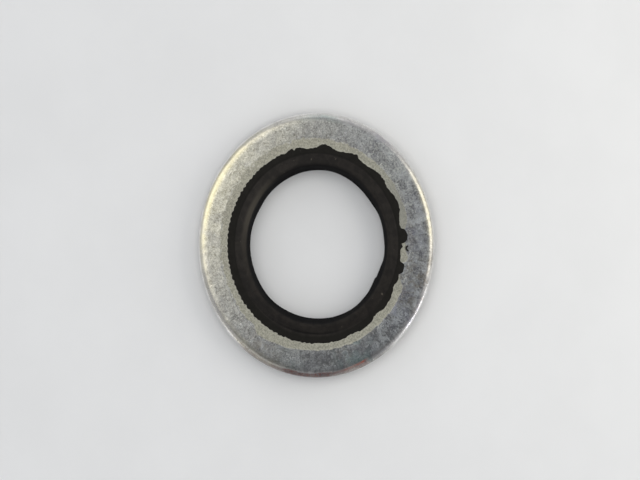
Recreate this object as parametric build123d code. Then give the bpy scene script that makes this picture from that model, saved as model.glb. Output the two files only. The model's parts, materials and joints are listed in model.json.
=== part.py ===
"""Bonded sealing washer for a banjo bolt: a stamped, zinc-plated steel ring with a
rubber seal moulded into its bore. The bolt's axis is +Z, and the washer lies on the
crest of its lower lip at z = 0.
"""

import math
import os

from build123d import *

# Seal bore and rings, in millimetres
seal_bore_diameter = 14.4  # clear hole through the rubber, for a 14 mm bolt
rubber_width = 1.25  # rubber from the bolt hole to the steel, along a radius
ring_width = 4.25  # steel from its bore to its outer edge, along a radius
ring_thickness = 2.0

# Outer edge of the steel, as the blanking die leaves it
roll_width = 0.6  # rounded upper edge, along a radius
roll_drop = 0.38  # height that the rounded edge gives up
fracture_height = 0.7  # torn lower part of the cut wall
fracture_taper = 0.06  # how far that part draws in
edge_break = 0.05  # tumbled lower corner

# Bonded zone of the steel
bore_chamfer = 0.2
land_depth = 0.03  # the mould presses a shallow land round the bore of each face
land_margin = 0.32  # land beyond the furthest lobe of flash

# Sealing lips, the same on both faces
lip_height = 0.35  # crest above the steel
bore_wall_inset = 0.2  # the straight bore wall stops this far inside each steel face
inner_flank_width = 0.45  # from the bore wall to the crest, along a radius
crest_width = 0.3
crest_radius = 0.2  # rounding of both crest corners
lip_foot_height = 0.14  # outer flank's foot above the land
groove_offset = 0.3  # middle of the groove, beyond the steel's bore
groove_width = 0.16
groove_floor = 0.03  # rubber left under the groove

# Flash beyond the groove: torn on the upper face, even on the lower one
flash_thickness = 0.1
flash_root_offset = 0.4  # where the lobes start, beyond the steel's bore
torn_flash_reach = 1.0  # usual reach of the torn edge, beyond the steel's bore
even_flash_reach = 0.8

# The torn edge's lobes and bites as (angle in degrees, share of the usual reach),
# anticlockwise from +X. The round lobe at 362 to 369 stands over a small hook.
torn_lobes = [
    (271, 0.98), (281, 1.03), (290, 0.98), (292.5, 0.85), (296, 0.94),
    (300, 1.05), (306, 1.03), (309, 0.98), (312.5, 0.78), (316.5, 0.86),
    (319, 1.01), (323, 1.04), (327, 1.01), (330, 0.93), (334, 0.75),
    (339, 0.82), (341.8, 0.82), (343, 1.04), (345.2, 1.18), (349.2, 1.11),
    (350.1, 0.67), (352, 0.6), (355, 0.57), (357.5, 0.62), (359, 0.8),
    (359.9, 0.74), (360.5, 0.7), (361.2, 1.04), (362, 1.2), (363.4, 1.3),
    (365, 1.38), (367, 1.29), (368.8, 1.1), (370, 0.78), (372, 0.68),
    (374.5, 0.75), (378, 0.91), (381, 1.1), (385, 1.2), (390, 1.12),
    (393, 0.97), (397, 0.94), (400, 1.1), (404, 1.14), (409, 1.06),
    (412, 0.92), (420, 0.93), (421.5, 1.0), (422.8, 1.2), (426, 1.13),
    (430, 0.99), (435, 0.83), (439, 0.95), (441.8, 1.17), (445, 1.23),
    (447.2, 1.18), (449, 0.99), (452, 0.86), (457, 0.82), (459, 0.94),
    (463.5, 1.11), (465.1, 0.98), (466, 1.2), (468, 1.1), (470, 0.96),
]

# Fine teeth along the rest of the torn edge
teeth_margin = 2  # degrees from the lobes at both ends to the teeth
tooth_pitch = 1.6  # degrees from a tip to the next valley
tooth_depth = 0.05  # share of the usual reach, each way from the middle line
teeth_base = 1.0  # share of the usual reach, at both ends of the run
teeth_swell = 0.14  # further share, in the middle of the run

# Tag of flash in the bore: (angle in degrees, share of the tag's reach)
tag_reach = 0.16
tag_thickness = 0.08
tag_outline = [(320, 0.0), (326, 0.5), (329, 0.8), (332.5, 1.0), (334.5, 0.0)]

# Levels and radii that follow
steel_bottom = lip_height
steel_top = steel_bottom + ring_thickness
lower_land = steel_bottom + land_depth
upper_land = steel_top - land_depth
lower_crest = steel_bottom - lip_height
upper_crest = steel_top + lip_height

seal_bore_radius = seal_bore_diameter / 2
steel_bore_radius = seal_bore_radius + rubber_width
outer_radius = steel_bore_radius + ring_width
groove_radius = steel_bore_radius + groove_offset
flash_root_radius = steel_bore_radius + flash_root_offset
furthest_lobe = torn_flash_reach * max(share for _, share in torn_lobes)
land_radius = steel_bore_radius + furthest_lobe + land_margin


def polar(radius, angle):
    """The point at a radius and an angle in degrees, looking down on the washer."""
    return (
        radius * math.cos(math.radians(angle)),
        radius * math.sin(math.radians(angle)),
    )


def steel_section():
    """Half section of the steel ring: its radius along X, its height along Y."""
    roll_start = (outer_radius - roll_width, steel_top)
    roll_end = (outer_radius, steel_top - roll_drop)
    fractured_radius = outer_radius - fracture_taper
    with BuildSketch() as sketch:
        with BuildLine():
            TangentArc(roll_start, roll_end, tangent=(1, 0))
            Polyline(
                roll_end,
                (outer_radius, steel_bottom + fracture_height),
                (fractured_radius, steel_bottom + edge_break),
                (fractured_radius - edge_break, steel_bottom),
                (land_radius + land_depth, steel_bottom),
                (land_radius, lower_land),
                (steel_bore_radius + bore_chamfer, lower_land),
                (steel_bore_radius, lower_land + bore_chamfer),
                (steel_bore_radius, upper_land - bore_chamfer),
                (steel_bore_radius + bore_chamfer, upper_land),
                (land_radius, upper_land),
                (land_radius + land_depth, steel_top),
                roll_start,
            )
        make_face()
    return sketch.sketch


def seal_section():
    """Half section of the rubber: bonded wall, lips, grooves and flash roots."""
    crest_start = seal_bore_radius + inner_flank_width
    crest_end = crest_start + crest_width
    groove_start = groove_radius - groove_width / 2
    groove_end = groove_radius + groove_width / 2
    even_flash_radius = steel_bore_radius + even_flash_reach
    with BuildSketch() as sketch:
        with BuildLine():
            Polyline(
                (seal_bore_radius, steel_bottom + bore_wall_inset),
                (crest_start, lower_crest),
                (crest_end, lower_crest),
                (groove_start, lower_land - lip_foot_height),
                (groove_radius, lower_land - groove_floor),
                (groove_end, lower_land - flash_thickness),
                (even_flash_radius, lower_land - flash_thickness),
                (even_flash_radius, lower_land),
                (steel_bore_radius + bore_chamfer, lower_land),
                (steel_bore_radius, lower_land + bore_chamfer),
                (steel_bore_radius, upper_land - bore_chamfer),
                (steel_bore_radius + bore_chamfer, upper_land),
                (flash_root_radius, upper_land),
                (flash_root_radius, upper_land + flash_thickness),
                (groove_end, upper_land + flash_thickness),
                (groove_radius, upper_land + groove_floor),
                (groove_start, upper_land + lip_foot_height),
                (crest_end, upper_crest),
                (crest_start, upper_crest),
                (seal_bore_radius, steel_top - bore_wall_inset),
                close=True,
            )
        make_face()
        lower_corners = sketch.vertices().group_by(Axis.Y)[0]
        upper_corners = sketch.vertices().group_by(Axis.Y)[-1]
        fillet(lower_corners + upper_corners, crest_radius)
    return sketch.sketch


def torn_edge():
    """Outline of the torn flash: the lobes, then the fine teeth back round to them."""
    outline = [
        polar(steel_bore_radius + torn_flash_reach * share, angle)
        for angle, share in torn_lobes
    ]
    teeth_start = torn_lobes[-1][0] + teeth_margin
    teeth_end = torn_lobes[0][0] + 360 - teeth_margin
    tooth_count = round((teeth_end - teeth_start) / tooth_pitch)
    for i in range(tooth_count + 1):
        angle = teeth_start + tooth_pitch * (i + 0.25 * math.sin(2.4 * i))
        middle = teeth_base + teeth_swell * math.sin(math.pi * i / tooth_count)
        side = 1 if i % 2 else -1
        depth = tooth_depth * (0.75 + 0.25 * math.sin(1.7 * i))
        reach = torn_flash_reach * (middle + side * depth)
        outline.append(polar(steel_bore_radius + reach, angle))
    return outline


def torn_flash():
    """Thin skirt of rubber that ran out over the upper land and tore."""
    with BuildSketch(Plane.XY.offset(upper_land)) as sketch:
        with BuildLine():
            Polyline(*torn_edge(), close=True)
        make_face()
        Circle(flash_root_radius, mode=Mode.SUBTRACT)
    return extrude(sketch.sketch, flash_thickness)


def bore_tag():
    """Small saw-tooth of flash that stands into the bore at the top of its wall."""
    tag_top = steel_top - bore_wall_inset
    root = [polar(seal_bore_radius + tag_reach, angle) for angle, _ in tag_outline]
    edge = [
        polar(seal_bore_radius - tag_reach * share, angle)
        for angle, share in reversed(tag_outline)
    ]
    with BuildSketch(Plane.XY.offset(tag_top - tag_thickness)) as sketch:
        with BuildLine():
            Polyline(*root, *edge, close=True)
        make_face()
    return extrude(sketch.sketch, tag_thickness)


def turned(section):
    """The ring that a half section makes round the bolt's axis."""
    return revolve(Plane.XZ * section, Axis.Z)


metal_ring = turned(steel_section())
rubber_seal = turned(seal_section()) + torn_flash() + bore_tag()

os.makedirs("parts", exist_ok=True)
for name, part in (("metal_ring", metal_ring), ("rubber_seal", rubber_seal)):
    export_step(part, f"parts/{name}.step")
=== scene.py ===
"""Looks of a bonded sealing washer for a banjo bolt: a zinc-plated steel ring with a
moulded rubber seal in its bore, lying on a pale floor and seen from straight above.
"""

import json
import math

import bpy
import numpy as np
from mathutils import Matrix, Vector


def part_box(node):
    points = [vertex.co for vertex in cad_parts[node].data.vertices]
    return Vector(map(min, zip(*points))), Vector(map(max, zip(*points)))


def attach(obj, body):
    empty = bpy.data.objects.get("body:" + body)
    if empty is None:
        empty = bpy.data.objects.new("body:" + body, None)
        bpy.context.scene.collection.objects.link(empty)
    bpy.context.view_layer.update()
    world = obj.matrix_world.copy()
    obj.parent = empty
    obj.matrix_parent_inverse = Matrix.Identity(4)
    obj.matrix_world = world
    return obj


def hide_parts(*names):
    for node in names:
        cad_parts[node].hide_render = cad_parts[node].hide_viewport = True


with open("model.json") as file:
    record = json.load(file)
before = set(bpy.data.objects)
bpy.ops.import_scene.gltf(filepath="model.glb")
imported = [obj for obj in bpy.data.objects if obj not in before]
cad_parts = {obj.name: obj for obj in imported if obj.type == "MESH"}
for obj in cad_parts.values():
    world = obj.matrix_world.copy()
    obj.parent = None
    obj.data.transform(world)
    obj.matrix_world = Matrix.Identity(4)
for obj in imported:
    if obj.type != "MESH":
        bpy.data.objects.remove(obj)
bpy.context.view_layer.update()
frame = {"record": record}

MM = 0.001

# Sizes that the frame gives, in millimetres
steel_low, steel_high = (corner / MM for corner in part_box("metal_ring"))
seal_low, seal_high = (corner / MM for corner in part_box("rubber_seal"))
outer_radius = steel_high.x
steel_bottom, steel_top = steel_low.z, steel_high.z
lower_crest, upper_crest = seal_low.z, seal_high.z
mounts = {mount["name"]: mount for mount in frame["record"]["mounts"]}
seal_bore_radius = mounts["bore"]["dims"]["r_mm"]
bore_wall_inset = (steel_top - steel_bottom - mounts["bore"]["dims"]["length_mm"]) / 2

# Sizes of the sections, in millimetres, as in the solids
rubber_width = 1.25
roll_width = 0.6
roll_drop = 0.38
fracture_height = 0.7
fracture_taper = 0.06
edge_break = 0.05
bore_chamfer = 0.2
land_depth = 0.03
land_margin = 0.32
inner_flank_width = 0.45
crest_width = 0.3
crest_radius = 0.2
lip_foot_height = 0.14
groove_offset = 0.3
groove_width = 0.16
groove_floor = 0.03
flash_thickness = 0.1
torn_flash_reach = 1.0
even_flash_reach = 0.8

# The torn edge's lobes and bites, as in the solid but for a blunter lobe at 346 degrees:
# (angle in degrees, share of the usual reach)
torn_lobes = [
    (271, 0.98), (281, 1.03), (290, 0.98), (292.5, 0.85), (296, 0.94),
    (300, 1.05), (306, 1.03), (309, 0.98), (312.5, 0.78), (316.5, 0.86),
    (319, 1.01), (323, 1.04), (327, 1.01), (330, 0.93), (334, 0.75),
    (340, 0.93), (342, 0.85), (343.4, 1.12), (346, 1.18), (348.6, 1.1),
    (350.1, 0.67), (352, 0.6), (355, 0.57), (357.5, 0.62), (359, 0.8),
    (359.9, 0.74), (360.5, 0.7), (361.2, 1.04), (362, 1.2), (363.4, 1.3),
    (365, 1.38), (367, 1.29), (368.8, 1.1), (370, 0.78), (372, 0.68),
    (374.5, 0.75), (378, 0.91), (381, 1.1), (385, 1.2), (390, 1.12),
    (393, 0.97), (397, 0.94), (400, 1.1), (404, 1.14), (409, 1.06),
    (412, 0.92), (420, 0.93), (421.5, 1.0), (422.8, 1.2), (426, 1.13),
    (430, 0.99), (435, 0.83), (439, 0.95), (441.8, 1.17), (445, 1.23),
    (447.2, 1.18), (449, 0.99), (452, 0.86), (457, 0.82), (459, 0.94),
    (463.5, 1.11), (465.1, 0.98), (466, 1.2), (468, 1.1), (470, 0.96),
]

# Fine teeth along the rest of the torn edge
teeth_margin = 2  # degrees from the lobes at both ends to the teeth
tooth_pitch = 1.6  # degrees from a tip to the next valley
tooth_depth = 0.05  # share of the usual reach, each way from the middle line
teeth_base = 1.0  # share of the usual reach, at both ends of the run
teeth_swell = 0.14  # further share, in the middle of the run

# Tag of flash in the bore: (angle in degrees, share of the tag's reach)
tag_reach = 0.16
tag_thickness = 0.08
tag_outline = [(320, 0.0), (326, 0.5), (329, 0.8), (332.5, 1.0), (334.5, 0.0)]

# Levels and radii that follow
steel_bore_radius = seal_bore_radius + rubber_width
furthest_lobe = torn_flash_reach * max(share for _, share in torn_lobes)
land_radius = steel_bore_radius + furthest_lobe + land_margin
groove_radius = steel_bore_radius + groove_offset
groove_start = groove_radius - groove_width / 2
groove_end = groove_radius + groove_width / 2
crest_start = seal_bore_radius + inner_flank_width
crest_end = crest_start + crest_width
lower_land, upper_land = steel_bottom + land_depth, steel_top - land_depth
wall_bottom, wall_top = steel_bottom + bore_wall_inset, steel_top - bore_wall_inset

# The bore's edge, as moulded: (angle in degrees, mm outwards from round)
bore_waves = [
    (4, 0.06), (24, 0.05), (33, -0.08), (60, -0.05), (74, 0.0), (96, -0.06), (118, -0.14),
    (140, -0.16), (150, -0.2), (158, -0.15), (170, -0.08), (207, -0.08), (230, -0.05),
    (243, -0.12), (268, -0.13), (290, -0.02), (304, 0.04), (318, -0.02), (342, -0.02),
    (349, 0.12), (356, 0.12),
]

# Camera: the picture shows the round washer narrower than it is high
photo_size = (640, 480)
washer_centre_px = (316.6, 244.5)
washer_height_px = 264
washer_squeeze = 0.893
lens_mm = 600
sensor_mm = 36


def linear(*srgb):
    """A colour given in 0 to 255 display values, as Blender's linear RGBA."""
    scaled_to_one = [value / 255 for value in srgb]
    return [
        value / 12.92 if value <= 0.04045 else ((value + 0.055) / 1.055) ** 2.4
        for value in scaled_to_one
    ] + [1.0]


# Curves and noise round the ring


def step_between(low, high, value):
    """Smooth step from 0 at low to 1 at high."""
    t = np.clip((value - low) / (high - low), 0, 1)
    return t * t * (3 - 2 * t)


def near(value, middle, reach, core=0.02):
    """1 within core of middle, falling smoothly to 0 at reach from it."""
    return step_between(reach, core, np.abs(value - middle))


def apart(angle, centre):
    """Signed degrees from centre to angle, from -180 to 180."""
    return (angle - centre + 180) % 360 - 180


def hump(angle, centre, half_width):
    """1 at centre, falling smoothly to 0 at half_width degrees either side."""
    return near(apart(angle, centre), 0, half_width, 0)


def humps(angle, spots):
    """Sum of humps: (centre and half width in degrees, height)."""
    return sum(height * hump(angle, centre, half_width) for centre, half_width, height in spots)


def ripple(x, y, waves):
    """Sum of plane waves: (wavelength in mm, direction in degrees, phase, share)."""
    total = 0
    for length, direction, phase, share in waves:
        along = x * math.cos(math.radians(direction)) + y * math.sin(math.radians(direction))
        total = total + share * np.sin(2 * math.pi * along / length + phase)
    return total


def rough_ring(angle, count, seed):
    """Smooth noise that closes round the ring, with so many knots, from -1 to 1."""
    knots = np.random.default_rng(seed).uniform(-1, 1, count)
    at = angle % 360 / 360 * count
    i = np.floor(at).astype(int) % count
    t = step_between(0, 1, at - np.floor(at))
    return knots[i] * (1 - t) + knots[(i + 1) % count] * t


def through(knots, angle):
    """Smooth closed curve through (degrees, value) knots, at each angle."""
    first = knots[0][0]
    wrapped = knots + [(first + 360, knots[0][1])]
    at, value = (np.array(column, float) for column in zip(*wrapped))
    slope = np.gradient(value, at) * 0.7
    turned = (angle - first) % 360 + first
    i = np.clip(np.searchsorted(at, turned, side="right") - 1, 0, len(at) - 2)
    span = at[i + 1] - at[i]
    t = (turned - at[i]) / span
    return (
        (2 * t**3 - 3 * t**2 + 1) * value[i]
        + (t**3 - 2 * t**2 + t) * span * slope[i]
        + (-2 * t**3 + 3 * t**2) * value[i + 1]
        + (t**3 - t**2) * span * slope[i + 1]
    )


def torn_edge_radius(angle):
    """Radius of the flash's torn edge in mm: lobes, then fine teeth, all frayed."""
    knots = list(torn_lobes)
    teeth_start = torn_lobes[-1][0] + teeth_margin
    teeth_end = torn_lobes[0][0] + 360 - teeth_margin
    tooth_count = round((teeth_end - teeth_start) / tooth_pitch)
    for i in range(tooth_count + 1):
        at = teeth_start + tooth_pitch * (i + 0.25 * math.sin(2.4 * i))
        middle = teeth_base + teeth_swell * math.sin(math.pi * i / tooth_count)
        side = 1 if i % 2 else -1
        depth = tooth_depth * (0.75 + 0.25 * math.sin(1.7 * i))
        knots.append((at, middle + side * depth))
    reach = torn_flash_reach * through(knots, angle)
    fray = 0.04 * rough_ring(angle, 260, 3) + 0.03 * rough_ring(angle, 560, 4)
    return steel_bore_radius + reach + fray


# Rings made from half sections

most_setback = 0.45  # share of an edge that the rounding at one end may take


def rounded(start, corner, end, t):
    """Point at share t of the bend from start to end, pulled towards the corner."""
    return (1 - t) ** 2 * start + 2 * t * (1 - t) * corner + t**2 * end


def filleted(corners, steps=3):
    """Closed half section with rounded corners, as (radius, height) points in mm.

    Each corner is (radius, height, rounding, longest run to the next point), in mm.
    """
    points = []
    for i, (r, z, rounding, longest) in enumerate(corners):
        here = Vector((r, z))
        corner = [here]
        if rounding:
            before = Vector(corners[i - 1][:2]) - here
            after = Vector(corners[(i + 1) % len(corners)][:2]) - here
            half = before.angle(after) / 2
            room = most_setback * min(before.length, after.length)
            setback = min(rounding / math.tan(half), room)
            start = here + before.normalized() * setback
            end = here + after.normalized() * setback
            corner = [rounded(start, here, end, k / steps) for k in range(steps + 1)]
        points += [(point, 0) for point in corner[:-1]] + [(corner[-1], longest)]
    dense = []
    for i, (here, longest) in enumerate(points):
        beyond = points[(i + 1) % len(points)][0]
        count = max(1, math.ceil((beyond - here).length / longest)) if longest else 1
        dense += [tuple(here.lerp(beyond, k / count)) for k in range(count)]
    return np.array(dense)


def spun(section, turns):
    """Angle, radius and height of a half section's points, at so many turns."""
    angle = (np.arange(turns) * 360 / turns)[:, None]
    radius = np.repeat(section[None, :, 0], turns, axis=0)
    height = np.repeat(section[None, :, 1], turns, axis=0)
    return angle, radius, height


def smooth_object(name, vertices, faces):
    """A smooth-shaded mesh object, in the scene."""
    mesh = bpy.data.meshes.new(name)
    mesh.from_pydata(vertices, [], faces)
    mesh.polygons.foreach_set("use_smooth", np.ones(len(faces), bool))
    made = bpy.data.objects.new(name, mesh)
    bpy.context.scene.collection.objects.link(made)
    return made


def ring_object(name, radius, height, angle):
    """Closed ring mesh from radius and height in mm, each of shape (turns, rows)."""
    turns, rows = radius.shape
    turn = np.radians(angle)
    places = np.stack(
        [radius * np.cos(turn), radius * np.sin(turn), height], axis=-1
    ).reshape(-1, 3) * MM
    i, j = np.meshgrid(np.arange(turns), np.arange(rows), indexing="ij")
    i2, j2 = (i + 1) % turns, (j + 1) % rows
    quads = np.stack(
        [i * rows + j, i2 * rows + j, i2 * rows + j2, i * rows + j2], axis=-1
    ).reshape(-1, 4)
    return smooth_object(name, places.tolist(), quads.tolist())


def paint(made, name, value):
    """Stores one number a vertex, for the material to read by name."""
    attribute = made.data.attributes.new(name, "FLOAT", "POINT")
    attribute.data.foreach_set("value", np.asarray(value, np.float32).ravel())


# Steel ring

steel_turns = 720
roll_steps = 10

# The plated face, in millimetres
soft_step_in = 0.2  # the upper land's step starts this far inside the land's edge
soft_step_out = 0.3  # and ends this far outside it
dish_depth = 0.05  # slope down from the land to the outer edge
fall_width = 1.0  # the face falls off further over this width before the edge
fall_run = 0.4  # first part of that width, where the fall sets in
fall_depth = 0.03  # over that first part
base_drop = 0.006  # keeps most of the waves below the solid's face
long_wave_height = 0.002
grain_height = 0.0012

# Waves of the grain: (wavelength in mm, direction in degrees, phase, share)
grain_waves = [
    (1.9, 20, 0.3, 1.0), (1.4, 75, 1.9, 0.8), (1.05, 130, 4.0, 0.7), (0.8, 165, 2.2, 0.5),
    (0.62, 50, 5.1, 0.4), (0.5, 105, 0.8, 0.3),
]

# The hidden lower face and the cut wall, in millimetres
lower_grain_height = 0.0015
lower_base = 0.003  # keeps most of that grain above the solid's lower face
score_depth = 0.004  # fine scoring of the burnished band
tear_depth = 0.02  # crumbs torn out below it

# Shallow dents and bumps of the plated face: (degrees, radius, size, depth), in mm
face_dents = [
    (244, 10.36, 0.12, 0.02), (253, 10.24, 0.2, 0.012), (258, 10.3, 0.16, 0.01),
    (355.5, 10.62, 0.1, 0.018), (352, 10.9, 0.12, 0.01), (140, 11.2, 0.1, 0.015),
    (34, 10.95, 0.14, -0.008), (55, 10.9, 0.13, -0.008), (46, 11.0, 0.12, -0.007),
    (316, 11.3, 0.15, 0.008), (205, 11.4, 0.12, 0.008), (285, 11.1, 0.2, 0.008),
]

# Where the looks of the upper face change: (centre and half width in degrees, strength).
# Keen parts have the strongest mottling, streaky ones are drawn out along the spokes, and
# curly ones have pale curled lines. Earthy and violet are tints of the zinc, ruddy makes
# the rust redder, and the last two lighten and darken the bonding coat.
face_spots = {
    "keen": [(335, 150, 1.0)],
    "streaky": [(310, 75, 1.0)],
    "curly": [(42, 48, 1.0), (345, 30, 0.5)],
    "earthy": [(340, 20, 1.0), (240, 18, 0.6), (287, 10, 0.5)],
    "violet": [(326, 16, 1.0), (10, 20, 0.6), (60, 14, 0.4)],
    "ruddy": [(290, 13, 1.0)],
    "coat_pale": [(145, 110, 1.0)],
    "coat_grime": [(22, 34, 1.0), (342, 16, 0.4)],
}
# Where a yellow highlight tint is painted on the rolled edge, at the warm lamps' highlights:
# (centre and half width in degrees, strength)
edge_highlight_tint_spots = [(155, 50, 0.8), (15, 35, 0.7), (235, 30, 0.5)]
rust_spots = [(262, 30, 1.0), (236, 14, 0.3), (290, 16, 0.3)]

# How far the bonding coat runs past the land: (centre and half width in degrees, mm)
coat_reaches = [
    (145, 100, 0.3), (4, 13, -0.75), (346, 7.5, -1.2), (340, 5, -0.55), (355, 5, -0.25),
]


def steel_section():
    """Half section of the steel: rolled upper edge, torn lower wall, shallow lands."""
    fractured = outer_radius - fracture_taper
    ball = (roll_width**2 + roll_drop**2) / (2 * roll_drop)
    sweep = math.asin(roll_width / ball)
    roll = []
    for k in range(1, roll_steps + 1):
        bend = sweep * (1 - k / roll_steps)
        r = outer_radius - roll_width + ball * math.sin(bend)
        roll.append((r, steel_top - ball * (1 - math.cos(bend)), 0, 0.1))
    return filleted([
        (steel_bore_radius, lower_land + bore_chamfer, 0.03, 0.4),
        (steel_bore_radius + bore_chamfer, lower_land, 0.03, 0.15),
        (land_radius, lower_land, 0.02, 0.1),
        (land_radius + land_depth, steel_bottom, 0.02, 0.2),
        (fractured - edge_break, steel_bottom, 0.03, 0.1),
        (fractured, steel_bottom + edge_break, 0.03, 0.09),
        (outer_radius, steel_bottom + fracture_height, 0.2, 0.12),
        (outer_radius, steel_top - roll_drop, 0.07, 0.1),
        *roll,
        (land_radius + soft_step_out, steel_top, 0.15, 0.1),
        (land_radius - soft_step_in, upper_land, 0.15, 0.12),
        (steel_bore_radius + bore_chamfer, upper_land, 0.03, 0.1),
        (steel_bore_radius, upper_land - bore_chamfer, 0.03, 0.4),
    ])


def face_relief(x, y, radius, turn, grain):
    """Mm that the plated face stands over the solid's: fall-off, waves and dents."""
    dish = dish_depth * np.clip((radius - land_radius) / (outer_radius - land_radius), 0, 1)
    past = np.clip(radius - (outer_radius - fall_width), 0, None) / fall_run
    fall = fall_depth * np.where(past < 1, past**2, 1 + 2 * (past - 1))
    waves = np.sin(2 * turn + 0.6) + np.sin(3 * turn + 2.1) + np.sin(5 * turn)
    relief = long_wave_height * waves + grain_height * grain - dish - fall - base_drop
    for dent_angle, dent_radius, size, depth in face_dents:
        dent_x = dent_radius * math.cos(math.radians(dent_angle))
        dent_y = dent_radius * math.sin(math.radians(dent_angle))
        from_dent = np.hypot(x - dent_x, y - dent_y)
        relief = relief - depth * np.exp(-((from_dent / (size / 2)) ** 2))
    return relief


def steel_ring():
    """The plated ring, with its uneven face, scored wall, and where its looks change."""
    angle, radius, height = spun(steel_section(), steel_turns)
    turn = np.radians(angle)
    x, y = radius * np.cos(turn), radius * np.sin(turn)

    # Both faces are wavy outside the land, and the upper one falls off to its edge.
    upper = step_between(steel_top - roll_drop - 0.3, steel_top - roll_drop, height)
    free = step_between(land_radius - 0.05, land_radius + 0.1, radius)
    rolled = step_between(outer_radius - 0.75, outer_radius - 0.45, radius) * upper
    grain = ripple(x, y, grain_waves)
    relief = face_relief(x, y, radius, turn, grain)
    height = height + np.minimum(relief, 0) * upper * free
    lower = step_between(steel_bottom + 0.3, steel_bottom, height)
    height = height + lower * free * np.maximum(lower_grain_height * grain + lower_base, 0)

    # The side wall: fine scoring in the burnished band, rougher where the metal tore.
    wall = step_between(outer_radius - 0.12, outer_radius - 0.02, radius) * (1 - upper * 0.8)
    torn = step_between(steel_bottom + fracture_height + 0.1, steel_bottom + 0.2, height)
    score = 0.5 + 0.5 * rough_ring(angle + 0.5 * height, 420, 5)
    crumbs = 0.5 + 0.5 * np.sin(67 * turn + 11 * height) * np.sin(97 * turn - 17 * height)
    radius = radius - wall * (score_depth * score + tear_depth * torn * crumbs)

    made = ring_object("plated_ring", radius, height, angle)
    paint_steel(made, angle, radius, height, rolled)
    return made


def paint_steel(made, angle, radius, height, rolled):
    """Stores where the coat, the rust, the tints, the painted shade, the yellow painted highlight
    tint and the burnished edge with its painted highlight lie.
    """
    on_top = step_between(steel_top - 0.7, steel_top - 0.15, height)
    below = step_between(steel_bottom + 0.15, steel_bottom + 0.02, height)
    outwards = step_between(outer_radius - 1.0, outer_radius - 0.5, radius)
    for name, spots in face_spots.items():
        paint(made, name, on_top * humps(angle, spots))
    coat_below = below * (radius < land_radius + 0.02)
    paint(made, "coat", on_top * coat_mask(angle, radius) + coat_below)
    paint(made, "coat_rim", on_top * coat_rim_mask(angle, radius))
    paint(made, "rust", rust_mask(angle, radius, height))
    paint(made, "rolled", rolled)
    paint(made, "burnished", rolled * (1 - hump(angle, 150, 75)))
    # Painted shade: the face darker towards 285 degrees and the roll darker near 203 degrees, where
    # the light falls off
    paint(made, "dull", on_top * (hump(angle, 285, 75) + rolled * hump(angle, 203, 36)))
    # Burnished outer edge, lightened further as a painted highlight
    paint(made, "bright_edge", burnish_and_highlight_mask(angle, radius, height))
    # Painted highlight tint: yellow where the warm highlights fall on the rolled edge, and on the
    # lit left of the face
    straw = outwards * humps(angle, edge_highlight_tint_spots) + 0.4 * hump(angle, 150, 90)
    paint(made, "straw", on_top * np.minimum(straw, 1))
    teal = humps(angle, [(292, 16, 1.0), (255, 12, 0.3)]) + 0.8 * outwards * hump(angle, 88, 16)
    paint(made, "teal", on_top * teal)


def coat_edge_radius(angle):
    """Outer radius in mm of the matte bonding coat on the upper face."""
    wander = 0.03 * rough_ring(angle, 40, 6) + 0.02 * rough_ring(angle, 150, 7)
    ragged = 0.3 + 0.3 * rough_ring(angle, 60, 13)
    return land_radius + wander + humps(angle, coat_reaches) + ragged * hump(angle, 238, 30)


def coat_mask(angle, radius):
    """1 where the bonding coat shows on the upper face, 0 on bare plating."""
    edge = coat_edge_radius(angle)
    thin = hump(angle, 140, 110)
    blend = 0.05 + 0.45 * thin
    return step_between(edge + blend, edge - blend, radius) * (1 - 0.12 * thin)


def coat_rim_mask(angle, radius):
    """1 on the paler lines where the coat ends at the flash and at the plating."""
    at_flash = near(radius, torn_edge_radius(angle), 0.14)
    at_plating = near(radius, coat_edge_radius(angle) - 0.04, 0.12) * hump(angle, 290, 60)
    at_land = near(radius, land_radius + 0.1, 0.12) * hump(angle, 25, 30)
    return np.maximum(at_flash, 0.7 * at_plating + 0.8 * at_land)


def burnish_and_highlight_mask(angle, radius, height):
    """1 along the outer edge, lightened as a burnished band and partly as a painted highlight,
    where the rust has not reached it.
    """
    band = step_between(outer_radius - 0.2, outer_radius - 0.08, radius)
    side = step_between(steel_top - 1.0, steel_top - 0.5, height)
    rusted = near(apart(angle, 270), 0, 44, 32)
    return band * side * (1 - rusted) * (0.8 + 0.2 * rough_ring(angle, 120, 14))


def rust_mask(angle, radius, height):
    """Reddish band along the outer edge, low in the picture, and the line past its end."""
    wide = 0.28 + 0.1 * rough_ring(angle, 70, 12) + 0.14 * hump(angle, 265, 24)
    band = step_between(outer_radius - wide - 0.07, outer_radius - wide + 0.07, radius)
    side = step_between(steel_top - 1.0, steel_top - 0.3, height)
    patchy = 0.8 + 0.4 * rough_ring(angle, 110, 8)
    line_radius = outer_radius - 0.3 - 0.012 * (angle - 280)
    line = near(radius, line_radius, 0.16, 0.05) * near(apart(angle, 285), 0, 14, 9)
    band = band * np.clip(humps(angle, rust_spots) * 1.6 * patchy, 0, 1)
    return side * np.maximum(band, line * patchy)


# Rubber seal

seal_turns = 1080

# The rubber's upper face, in millimetres
flash_edge_thickness = 0.05  # both flashes thin out to this
pucker_depth = 0.018  # of the skirt, at its torn edge
lip_wave_depth = 0.012
second_line_radius = crest_end + 0.32
second_line_width = 0.05
second_line_depth = 0.012

# Dust specks on the lip: (degrees, radius in mm, size in mm)
dust_specks = [
    (326, 8.47, 0.14), (76, 8.46, 0.13), (78.5, 8.42, 0.1), (94, 8.2, 0.1), (289, 8.3, 0.08),
]


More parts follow.
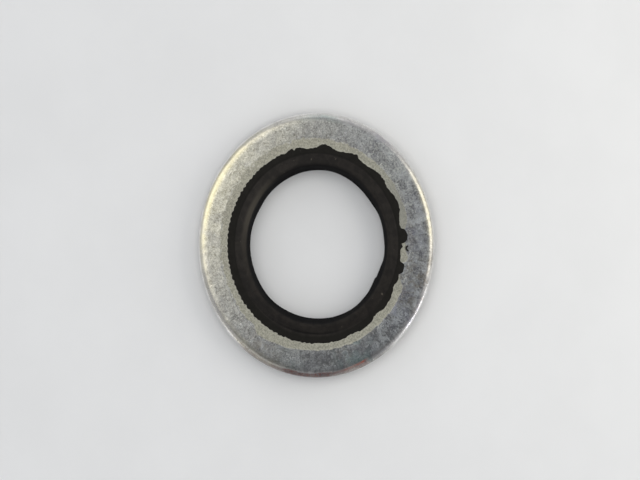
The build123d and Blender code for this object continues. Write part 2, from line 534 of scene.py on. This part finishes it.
def seal_section():
    """Half section of the rubber: bonded wall, lips, grooves and both flashes."""
    even_edge = steel_bore_radius + even_flash_reach
    torn_edge = steel_bore_radius + torn_flash_reach
    return filleted([
        (seal_bore_radius, wall_bottom, 0.08, 0.2),
        (crest_start, lower_crest, crest_radius, 0.3),
        (crest_end, lower_crest, crest_radius, 0.3),
        (groove_start, lower_land - lip_foot_height, 0.05, 0.1),
        (groove_radius, lower_land - groove_floor, 0.02, 0.1),
        (groove_end, lower_land - flash_thickness, 0.04, 0.3),
        (even_edge, lower_land - flash_edge_thickness, 0.03, 0.1),
        (even_edge, lower_land, 0, 1),
        (steel_bore_radius + bore_chamfer, lower_land, 0, 1),
        (steel_bore_radius, lower_land + bore_chamfer, 0, 1),
        (steel_bore_radius, upper_land - bore_chamfer, 0, 1),
        (steel_bore_radius + bore_chamfer, upper_land, 0, 0.5),
        (torn_edge, upper_land, 0, 0.1),
        (torn_edge, upper_land + flash_edge_thickness, 0.04, 0.12),
        (groove_end + 0.05, upper_land + flash_thickness, 0.1, 0.1),
        (groove_radius, upper_land + groove_floor, 0.1, 0.1),
        (groove_start - 0.06, upper_land + lip_foot_height + 0.02, 0.12, 0.14),
        (crest_end, upper_crest, crest_radius, 0.12),
        (crest_start, upper_crest, crest_radius, 0.12),
        (seal_bore_radius, wall_top, 0.05, 0.04),
        (seal_bore_radius, wall_top - tag_thickness, 0, 0.04),
        (seal_bore_radius, wall_top - tag_thickness - 0.05, 0, 0.35),
    ])


def torn_skirt(angle, radius, height):
    """Radius and height with the skirt stretched to its ragged edge, and puckered."""
    on_skirt = (height > upper_land - 0.001) & (radius > groove_end)
    share = (radius - groove_end) / (steel_bore_radius + torn_flash_reach - groove_end)
    share = np.clip(share, 0, 1)
    ragged = groove_end + share * (torn_edge_radius(angle) - groove_end)
    radius = np.where(on_skirt, ragged, radius)
    puckers = 0.5 + 0.5 * rough_ring(angle + 4 * radius, 200, 9)
    skirt_top = on_skirt & (height > upper_land + 0.03)
    return radius, height - np.where(skirt_top, pucker_depth * share * puckers, 0)


def groove_shift(angle):
    """Mm that the upper groove runs outwards from the solid's, or inwards below 0."""
    return 0.08 - 0.29 * hump(angle, 262, 90) + 0.01 * rough_ring(angle, 30, 10)


def uneven_lip(angle, radius, height, above):
    """Radius and height with the groove shifted and filled in, a faint second line on
    the outer flank, and soft waves of the lip."""
    turn = np.radians(angle)
    filled_in = 0.05 - 0.045 * hump(angle, 258, 38)
    height = height + above * near(radius, groove_radius, 0.16, 0.0) * filled_in
    radius = radius + above * near(radius, groove_radius, 0.5, 0.08) * groove_shift(angle)
    from_line = (radius - second_line_radius) / second_line_width
    line = second_line_depth * np.exp(-(from_line**2)) * hump(angle, 215, 80)
    lip = step_between(groove_radius - 0.05, groove_radius - 0.3, radius)
    waves = lip_wave_depth * (1 + np.sin(7 * turn) * np.sin(3 * turn + 2)) / 2
    return radius, height - above * (line + lip * waves)


def uneven_bore(angle, radius, height):
    """Radius with the bore's tag of flash, and the bore's edge as it was moulded."""
    tag_bottom = wall_top - tag_thickness
    rows = step_between(tag_bottom - 0.04, tag_bottom, height)
    rows = rows * step_between(wall_top + 0.1, wall_top + 0.02, height)
    tag = rows * np.interp(angle, *zip(*tag_outline), left=0, right=0)
    inside = step_between(seal_bore_radius + 0.12, seal_bore_radius + 0.04, radius)
    return radius + inside * (through(bore_waves, angle) * (1 - tag) - tag_reach * tag)


def rubber_seal():
    """The moulded seal: bonded wall, lips, grooves, and flash torn on the upper face."""
    angle, radius, height = spun(seal_section(), seal_turns)
    radius, height = torn_skirt(angle, radius, height)
    above = step_between(steel_top - 0.2, steel_top, height)
    radius, height = uneven_lip(angle, radius, height, above)
    radius = uneven_bore(angle, radius, height)
    made = ring_object("moulded_seal", radius, height, angle)
    paint_rubber(made, angle, radius, height, above)
    return made


def paint_rubber(made, angle, radius, height, above):
    """Stores where the skirt, the painted shade in the groove and on the inner flank, the painted
    sheen on the crest and the dust lie.
    """
    # Painted shade on the inner flank, which faces into the bore: it reaches further out near 86
    # degrees
    shade_end = crest_start + 0.1 + 0.45 * hump(angle, 86, 55)
    crest = step_between(crest_end + 0.3, crest_end - 0.15, radius)
    crest = crest * step_between(crest_start - 0.22, crest_start - 0.02, radius)
    at_groove = near(radius, groove_radius + groove_shift(angle), 0.14)
    paint(made, "skirt", step_between(groove_end - 0.1, groove_end, radius))
    # Painted shade: the groove's bottom darkened, most near 262 degrees
    paint(made, "groove", above * at_groove * (0.3 + 0.7 * hump(angle, 262, 38)))
    paint(made, "flank", step_between(shade_end, crest_start - 0.15, radius))
    # Painted sheen: the crest lightened where the key lamp's highlight falls, near 153 degrees
    paint(made, "worn", above * crest * humps(angle, [(153, 34, 1.0), (185, 40, 0.3)]))
    paint(made, "dust", dust_mask(angle, radius, height))


def dust_mask(angle, radius, height):
    """1 on the few pale specks of the upper lip."""
    total = 0
    for speck_angle, speck_radius, size in dust_specks:
        along = np.radians(apart(angle, speck_angle)) * radius
        away = np.hypot(along, radius - speck_radius)
        total = total + step_between(size * 0.6, size * 0.2, away)
    return np.clip(total, 0, 1) * (height > steel_top)


# The torn crumb of flash beside the seal: (x, y, half width) in mm, from end to end
crumb_thickness = 0.06
crumb_sink = 0.002  # how far it sinks into the land
crumb_line = [
    (9.86, -0.14, 0.04), (9.77, -0.16, 0.08), (9.69, -0.22, 0.11), (9.64, -0.31, 0.11),
    (9.64, -0.42, 0.09), (9.7, -0.51, 0.09), (9.79, -0.57, 0.1), (9.89, -0.58, 0.07),
]


def flash_crumb():
    """A small crescent of rubber that lies on the land, apart from the seal."""
    around = 14
    line = [Vector((x, y)) for x, y, _ in crumb_line]
    vertices = []
    for i, (x, y, half) in enumerate(crumb_line):
        along = (line[min(i + 1, len(line) - 1)] - line[max(i - 1, 0)]).normalized()
        side = Vector((-along.y, along.x))
        for k in range(around):
            turn = 2 * math.pi * k / around
            place = Vector((x, y)) + side * half * math.cos(turn)
            rise = crumb_thickness / 2 * (1 + math.sin(turn)) * min(1, half / 0.07)
            height = upper_land - crumb_sink + rise
            vertices.append((place.x * MM, place.y * MM, height * MM))
    faces = [tuple(reversed(range(around)))]
    for i in range(len(crumb_line) - 1):
        for k in range(around):
            here, beside = i * around + k, i * around + (k + 1) % around
            faces.append((here, beside, beside + around, here + around))
    last = (len(crumb_line) - 1) * around
    faces.append(tuple(last + k for k in range(around)))
    return smooth_object("flash_crumb", vertices, faces)


# Materials


def nodes_of(name):
    """A new material with its tree and its main shader."""
    made = bpy.data.materials.new(name)
    made.use_nodes = True
    return made, made.node_tree, made.node_tree.nodes["Principled BSDF"]


def feed(tree, socket, value):
    """Links value to socket where it is a socket, and sets it where it is a number."""
    if isinstance(value, (int, float, list, tuple)):
        socket.default_value = value
    else:
        tree.links.new(value, socket)


def maths(tree, operation, a, b=0.0):
    """a and b, each a socket or a number, put together."""
    node = tree.nodes.new("ShaderNodeMath")
    node.operation = operation
    feed(tree, node.inputs[0], a)
    feed(tree, node.inputs[1], b)
    return node.outputs[0]


def product(tree, *factors):
    """All the factors, each a socket or a number, multiplied together."""
    result = factors[0]
    for factor in factors[1:]:
        result = maths(tree, "MULTIPLY", result, factor)
    return result


def scaled(tree, value, factor, offset):
    """value times factor, plus offset."""
    return maths(tree, "ADD", maths(tree, "MULTIPLY", value, factor), offset)


def vectors(tree, operation, a, b=(0.0, 0.0, 0.0), output=0):
    """Vectors a and b, each a socket or three numbers, put together."""
    node = tree.nodes.new("ShaderNodeVectorMath")
    node.operation = operation
    feed(tree, node.inputs[0], a)
    if operation == "SCALE":
        node.inputs["Scale"].default_value = b
    else:
        feed(tree, node.inputs[1], b)
    return node.outputs[output]


def remap(tree, value, low, high, to_low=0.0, to_high=1.0):
    """value moved smoothly from low..high to to_low..to_high, and held there."""
    node = tree.nodes.new("ShaderNodeMapRange")
    node.interpolation_type = "SMOOTHSTEP"
    for i, number in enumerate((low, high, to_low, to_high), start=1):
        node.inputs[i].default_value = number
    tree.links.new(value, node.inputs[0])
    return node.outputs[0]


def millimetres(tree):
    """The object's own coordinates, in millimetres."""
    place = tree.nodes.new("ShaderNodeTexCoord")
    return vectors(tree, "SCALE", place.outputs["Object"], 1 / MM)


def spokes(tree, place, across, along):
    """Coordinates whose noise is drawn out along the spokes: cells a mm each way."""
    flat = vectors(tree, "MULTIPLY", place, (1.0, 1.0, 0.0))
    round_rim = vectors(tree, "SCALE", vectors(tree, "NORMALIZE", flat), outer_radius * across)
    parts = tree.nodes.new("ShaderNodeSeparateXYZ")
    tree.links.new(place, parts.inputs[0])
    outwards = maths(tree, "ADD", vectors(tree, "LENGTH", flat, output=1), parts.outputs[2])
    lift = tree.nodes.new("ShaderNodeCombineXYZ")
    tree.links.new(maths(tree, "MULTIPLY", outwards, along), lift.inputs[2])
    return vectors(tree, "ADD", round_rim, lift.outputs[0])


def noise(tree, place, scale, detail=3.0, rough=0.5, distortion=0.0):
    """Noise of so many cells a millimetre, from about 0 to 1."""
    node = tree.nodes.new("ShaderNodeTexNoise")
    node.inputs["Scale"].default_value = scale
    node.inputs["Detail"].default_value = detail
    node.inputs["Roughness"].default_value = rough
    node.inputs["Distortion"].default_value = distortion
    tree.links.new(place, node.inputs["Vector"])
    return node.outputs["Fac"]


def curls(tree, place, scale, width):
    """Thin curled lines: 1 on a line, 0 beside it."""
    waves = noise(tree, place, scale, detail=1.0, rough=0.4, distortion=1.8)
    off = maths(tree, "ABSOLUTE", maths(tree, "SUBTRACT", waves, 0.5))
    return remap(tree, off, 0.0, width, 1.0, 0.0)


def dots(tree, place, scale, outer, inner, strength):
    """Round dots, so many a millimetre: strength within inner, 0 beyond outer."""
    node = tree.nodes.new("ShaderNodeTexVoronoi")
    node.inputs["Scale"].default_value = scale
    tree.links.new(place, node.inputs["Vector"])
    return remap(tree, node.outputs["Distance"], outer, inner, 0.0, strength)


def mixed(tree, share, a, b):
    """Colour a, and b by share; each is a socket or linear RGBA."""
    node = tree.nodes.new("ShaderNodeMix")
    node.data_type = "RGBA"
    feed(tree, node.inputs[0], share)
    feed(tree, node.inputs[6], a)
    feed(tree, node.inputs[7], b)
    return node.outputs[2]


def over(tree, base, colour, share, strength=1.0):
    """base with a colour, in display values, laid over it by share times strength."""
    if strength != 1.0:
        share = maths(tree, "MULTIPLY", share, strength)
    return mixed(tree, share, base, linear(*colour))


def painted(tree, name):
    """A number that the mesh carries."""
    node = tree.nodes.new("ShaderNodeAttribute")
    node.attribute_name = name
    return node.outputs["Fac"]


def bumped(tree, height, distance, strength):
    """A normal for a height from 0 to 1 that stands so many mm."""
    node = tree.nodes.new("ShaderNodeBump")
    node.inputs["Strength"].default_value = strength
    node.inputs["Distance"].default_value = distance * MM
    tree.links.new(height, node.inputs["Height"])
    return node.outputs["Normal"]


def mottling(tree, place, swirls):
    """Swirls with blotches and streaks, at the contrast that each part of the ring has."""
    blotches = noise(tree, place, 0.95, detail=2.0, rough=0.5, distortion=0.8)
    blotches = maths(tree, "SUBTRACT", blotches, 0.5)
    blotches = product(tree, blotches, scaled(tree, painted(tree, "keen"), 0.3, 0.25))
    drawn_out = spokes(tree, place, 3.2, 0.9)
    streaks = noise(tree, drawn_out, 1.0, detail=3.0, rough=0.6, distortion=0.8)
    streaks = maths(tree, "SUBTRACT", streaks, 0.5)
    streaks = product(tree, streaks, painted(tree, "streaky"), 0.5)
    grain = maths(tree, "ADD", maths(tree, "ADD", swirls, blotches), streaks)
    contrast = product(
        tree,
        scaled(tree, painted(tree, "keen"), 0.95, 0.68),
        scaled(tree, painted(tree, "rolled"), -0.7, 1.0),
        scaled(tree, painted(tree, "curly"), -0.4, 1.0),
    )
    return maths(tree, "ADD", product(tree, maths(tree, "SUBTRACT", grain, 0.5), contrast), 0.5)


def zinc_colour(tree, place, grain):
    """Mottled zinc with clouds, curled lines, faint tints, specks and pits, painted shade on one
    side, a yellow painted highlight tint, and an edge lightened as burnish and painted highlight.
    """
    clouds = noise(tree, place, 0.55, detail=3.0, rough=0.6, distortion=1.0)
    keen = painted(tree, "keen")
    light_share = remap(tree, grain, 0.34, 0.66)
    zinc = mixed(tree, light_share, linear(117, 115, 114), linear(229, 227, 221))
    cloudy = product(tree, scaled(tree, keen, 0.25, 0.15), remap(tree, clouds, 0.56, 0.4))
    zinc = over(tree, zinc, (122, 120, 124), cloudy)
    # Painted shade where the face and the roll fall into shade
    zinc = over(tree, zinc, (116, 117, 118), painted(tree, "dull"), 0.4)

    off_the_roll = scaled(tree, painted(tree, "rolled"), -0.7, 1.0)
    light_curls = product(tree, curls(tree, place, 1.5, 0.07), painted(tree, "curly"), off_the_roll)
    zinc = over(tree, zinc, (236, 235, 225), light_curls, 0.8)
    patches = noise(tree, place, 0.45, detail=2.0, rough=0.5, distortion=0.5)
    patches = remap(tree, patches, 0.42, 0.6, 0.15, 1.0)
    less_when_keen = scaled(tree, keen, -0.6, 1.0)
    dark_curls = product(tree, curls(tree, place, 2.0, 0.05), patches, less_when_keen)
    zinc = over(tree, zinc, (104, 103, 98), dark_curls, 0.6)

    earth = noise(tree, place, 1.1, detail=3.0, rough=0.6, distortion=1.5)
    earth = product(tree, painted(tree, "earthy"), remap(tree, earth, 0.45, 0.62, 0.0, 0.5))
    zinc = over(tree, zinc, (146, 134, 116), earth)
    # Painted highlight tint: yellow where the warm highlights fall
    straw = product(tree, painted(tree, "straw"), remap(tree, clouds, 0.3, 0.6, 0.5, 1.0))
    zinc = over(tree, zinc, (202, 194, 146), straw, 0.5)
    tint = noise(tree, place, 0.7, detail=2.0, rough=0.5, distortion=0.8)
    tint = remap(tree, tint, 0.4, 0.65)
    zinc = over(tree, zinc, (128, 160, 152), product(tree, painted(tree, "teal"), tint), 0.35)
    zinc = over(tree, zinc, (142, 142, 172), product(tree, painted(tree, "violet"), tint), 0.3)

    zinc = over(tree, zinc, (245, 245, 242), dots(tree, place, 1.2, 0.09, 0.04, 0.6))
    moved_on = vectors(tree, "ADD", place, (5.0, 3.0, 0.0))
    zinc = over(tree, zinc, (92, 92, 88), dots(tree, moved_on, 1.0, 0.08, 0.04, 0.6))
    # Burnished outer edge, lightened partly as a painted highlight
    return over(tree, zinc, (244, 243, 242), painted(tree, "bright_edge"), 0.8)


def coat_colour(tree, swirls):
    """Matte greenish-grey bonding coat, with paler rims and worm-like lines."""
    light_share = remap(tree, swirls, 0.38, 0.62)
    matte = mixed(tree, light_share, linear(115, 114, 102), linear(162, 160, 144))
    matte = over(tree, matte, (160, 156, 138), painted(tree, "coat_pale"), 0.35)
    worms = product(tree, remap(tree, swirls, 0.5, 0.42, 0.0, 0.6), painted(tree, "coat_pale"))
    matte = over(tree, matte, (116, 113, 102), worms)
    matte = over(tree, matte, (180, 178, 164), painted(tree, "coat_rim"), 0.5)
    return over(tree, matte, (112, 112, 106), painted(tree, "coat_grime"), 0.6)


def plated_steel():
    """Dull zinc plating with swirled grain, rust at its edge, and the bonding coat."""
    made, tree, shader = nodes_of("plated_steel")
    place = millimetres(tree)
    swirl = noise(tree, place, 2.6, detail=3.0, rough=0.6, distortion=2.6)
    fine = noise(tree, place, 6.5, detail=2.0, rough=0.6, distortion=1.2)
    swirls = maths(tree, "ADD", product(tree, swirl, 0.5), product(tree, fine, 0.5))
    grain = mottling(tree, place, swirls)

    rust = product(tree, painted(tree, "rust"), remap(tree, swirls, 0.42, 0.56, 0.7, 1.0))
    brown = mixed(tree, remap(tree, fine, 0.4, 0.6), linear(46, 34, 36), linear(92, 56, 50))
    brown = over(tree, brown, (138, 76, 60), painted(tree, "ruddy"))
    metal = mixed(tree, rust, zinc_colour(tree, place, grain), brown)

    ragged = remap(tree, noise(tree, place, 2.2, detail=5.0, rough=0.7), 0.3, 0.7, -0.4, 0.4)
    coat = remap(tree, maths(tree, "ADD", painted(tree, "coat"), ragged), 0.3, 0.7)
    colour = mixed(tree, coat, metal, coat_colour(tree, swirls))
    tree.links.new(colour, shader.inputs["Base Color"])
    bare = product(tree, scaled(tree, coat, -0.95, 1.0), scaled(tree, rust, -0.95, 1.0))
    tree.links.new(bare, shader.inputs["Metallic"])
    dullness = remap(tree, grain, 0.36, 0.64, 0.34, 0.27)
    dullness = maths(tree, "ADD", dullness, product(tree, coat, 0.3))
    dullness = maths(tree, "SUBTRACT", dullness, product(tree, painted(tree, "burnished"), 0.04))
    tree.links.new(dullness, shader.inputs["Roughness"])
    tree.links.new(bumped(tree, grain, 0.02, 0.3), shader.inputs["Normal"])
    return made


def black_rubber():
    """Moulded black rubber: matte, faintly brown, with fine pores, a few dust specks, painted shade
    in the groove and on the inner flank, and a painted sheen on the crest.
    """
    made, tree, shader = nodes_of("black_rubber")
    place = millimetres(tree)
    mottle = noise(tree, place, 1.4, detail=4.0, rough=0.6, distortion=0.6)
    pores = noise(tree, place, 9.0, detail=3.0, rough=0.6)
    black = mixed(tree, remap(tree, mottle, 0.35, 0.65), linear(27, 25, 23), linear(36, 33, 30))
    black = over(tree, black, (24, 23, 20), painted(tree, "skirt"), 0.85)
    # Painted shade in the groove
    black = over(tree, black, (11, 11, 10), painted(tree, "groove"), 0.7)
    # Painted shade on the inner flank
    black = over(tree, black, (7, 7, 8), painted(tree, "flank"), 0.9)
    # Painted sheen on the crest
    black = over(tree, black, (64, 60, 53), painted(tree, "worn"), 0.9)
    black = over(tree, black, (96, 90, 80), painted(tree, "dust"))
    black = over(tree, black, (74, 70, 64), dots(tree, place, 1.1, 0.07, 0.03, 0.5))
    tree.links.new(black, shader.inputs["Base Color"])
    dullness = remap(tree, mottle, 0.3, 0.7, 0.55, 0.43)
    dullness = maths(tree, "ADD", dullness, product(tree, painted(tree, "skirt"), 0.25))
    tree.links.new(dullness, shader.inputs["Roughness"])
    shader.inputs["Specular IOR Level"].default_value = 0.09
    tree.links.new(bumped(tree, pores, 0.01, 0.5), shader.inputs["Normal"])
    return made


def pale_floor():
    """Plain pale board, with the faintest mottle."""
    made, tree, shader = nodes_of("pale_board")
    place = millimetres(tree)
    tone = remap(tree, noise(tree, place, 0.08, detail=4.0, rough=0.6), 0.3, 0.7)
    board = mixed(tree, tone, linear(224, 224, 222), linear(227, 227, 225))
    tree.links.new(board, shader.inputs["Base Color"])
    shader.inputs["Roughness"].default_value = 0.9
    shader.inputs["Specular IOR Level"].default_value = 0.1
    return made


# Stage

# World light: the horizon's and the zenith's colour, and levels of one tint between them
horizon_colour = (1.0, 0.995, 1.01, 1)
zenith_colour = (0.163, 0.184, 0.212, 1)
sky_tint = (0.975, 0.99, 1.045)
sky_levels = [(0.3, 0.85), (0.6, 0.72), (0.85, 0.37)]

# Soft shades and bright patches of the world light, which the rolled edge and the grain
# reflect: (azimuth, elevation, full within, none beyond, change of level), in degrees
sky_patches = [
    (285, 52, 10, 40, -0.4), (272, 8, 15, 42, -0.3), (328, 1, 5, 14, 5.6),
    (223, -2, 4, 11, 4.2), (172, 24, 8, 20, 0.45), (25, 68, 8, 36, 0.9),
    (250, 45, 12, 36, 0.3), (90, 26, 10, 32, 0.4),
]

floor_reach = 2.0  # metres
floor_corners = 96


def towards(azimuth, elevation):
    """Unit vector in that direction, given in degrees."""
    a, e = math.radians(azimuth), math.radians(elevation)
    return Vector((math.cos(a) * math.cos(e), math.sin(a) * math.cos(e), math.sin(e)))


def soft_disc(name, azimuth, elevation, distance, width, radiance, colour):
    """A round lamp that looks at the washer, placed in degrees and mm, as bright as that."""
    area = math.pi * (width * MM / 2) ** 2
    lamp = bpy.data.lights.new(name, "AREA")
    lamp.shape = "DISK"
    lamp.size = width * MM
    lamp.energy = radiance * math.pi * area
    lamp.color = colour
    made = bpy.data.objects.new(name, lamp)
    away = towards(azimuth, elevation)
    made.location = away * distance * MM
    made.rotation_mode = "QUATERNION"
    made.rotation_quaternion = away.to_track_quat("Z", "Y")
    made.visible_camera = False
    bpy.context.scene.collection.objects.link(made)
    return made


def glow(tree, facing, azimuth, elevation, inner, outer):
    """1 within inner degrees of a direction, falling to 0 at outer degrees from it."""
    closeness = vectors(tree, "DOT_PRODUCT", facing, tuple(towards(azimuth, elevation)), output=1)
    return remap(tree, closeness, math.cos(math.radians(outer)), math.cos(math.radians(inner)))


def dome():
    """World light: pale at the horizon, dim overhead and low in the picture."""
    world = bpy.data.worlds.new("dome")
    bpy.context.scene.world = world
    world.use_nodes = True
    tree = world.node_tree
    facing = tree.nodes.new("ShaderNodeTexCoord").outputs["Generated"]
    parts = tree.nodes.new("ShaderNodeSeparateXYZ")
    tree.links.new(facing, parts.inputs[0])
    ramp = tree.nodes.new("ShaderNodeValToRGB")
    stops = ramp.color_ramp.elements
    stops[0].position, stops[0].color = 0.0, horizon_colour
    stops[1].position, stops[1].color = 1.0, zenith_colour
    for at, level in sky_levels:
        stops.new(at).color = [level * share for share in sky_tint] + [1]
    tree.links.new(parts.outputs["Z"], ramp.inputs[0])
    strength = 1.0
    for azimuth, elevation, inner, outer, change in sky_patches:
        patch = product(tree, glow(tree, facing, azimuth, elevation, inner, outer), change)
        strength = maths(tree, "ADD", patch, strength)
    background = tree.nodes["Background"]
    tree.links.new(ramp.outputs[0], background.inputs["Color"])
    tree.links.new(strength, background.inputs["Strength"])


def studio():
    """Pale floor, dome and soft lamps."""
    turns = [2 * math.pi * i / floor_corners for i in range(floor_corners)]
    rim = [(floor_reach * math.cos(turn), floor_reach * math.sin(turn), 0.0) for turn in turns]
    mesh = bpy.data.meshes.new("floor")
    mesh.from_pydata(rim, [], [tuple(range(floor_corners))])
    floor = bpy.data.objects.new("floor", mesh)
    bpy.context.scene.collection.objects.link(floor)
    floor.data.materials.append(pale_floor())
    dome()
    key = soft_disc(
        "key", azimuth=156, elevation=54, distance=90, width=95,
        radiance=1.7, colour=(1.0, 0.975, 0.88),
    )
    key.visible_diffuse = False
    soft_disc(
        "right", azimuth=12, elevation=34, distance=110, width=88,
        radiance=1.5, colour=(1.0, 0.965, 0.88),
    )
    overhead = soft_disc(
        "overhead", azimuth=150, elevation=80, distance=300, width=280,
        radiance=1.5, colour=(1.0, 0.995, 0.985),
    )
    overhead.visible_glossy = False


def squeezed_camera():
    """Camera straight above, with the washer where the photograph has it.

    The photograph was stored narrower than it was taken. Its frame is repeated by a
    holder whose upward axis leans back, so that the picture is stretched upwards and
    nothing is tilted: walls stay hidden, as they are seen from straight above.
    """
    lean = math.acos(washer_squeeze)
    mm_per_px = 2 * outer_radius / washer_height_px / washer_squeeze
    distance = lens_mm / sensor_mm * photo_size[0] * mm_per_px
    shift_x = (photo_size[0] / 2 - washer_centre_px[0]) * mm_per_px
    shift_y = (washer_centre_px[1] - photo_size[1] / 2) * mm_per_px
    data = bpy.data.cameras.new("camera")
    data.lens = lens_mm
    data.sensor_width = sensor_mm
    data.clip_start = 0.01
    data.clip_end = 10
    camera = bpy.data.objects.new("camera", data)
    holder = bpy.data.objects.new("camera_holder", None)
    for made in (camera, holder):
        bpy.context.scene.collection.objects.link(made)
    camera.parent = holder
    camera.matrix_parent_inverse = Matrix((
        (1, 0, 0, 0),
        (0, math.cos(lean), 0, 0),
        (0, math.sin(lean), 1, 0),
        (0, 0, 0, 1),
    ))
    camera.location = (shift_x * MM, shift_y * MM, distance * MM)
    bpy.context.scene.camera = camera


ring = steel_ring()
ring.data.materials.append(plated_steel())
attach(ring, "root")
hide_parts("metal_ring")

rubber = black_rubber()
seal = rubber_seal()
seal.data.materials.append(rubber)
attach(seal, "root")
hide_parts("rubber_seal")

crumb = flash_crumb()
crumb.data.materials.append(rubber)
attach(crumb, "root")

studio()
squeezed_camera()
bpy.context.scene.view_settings.view_transform = "Standard"
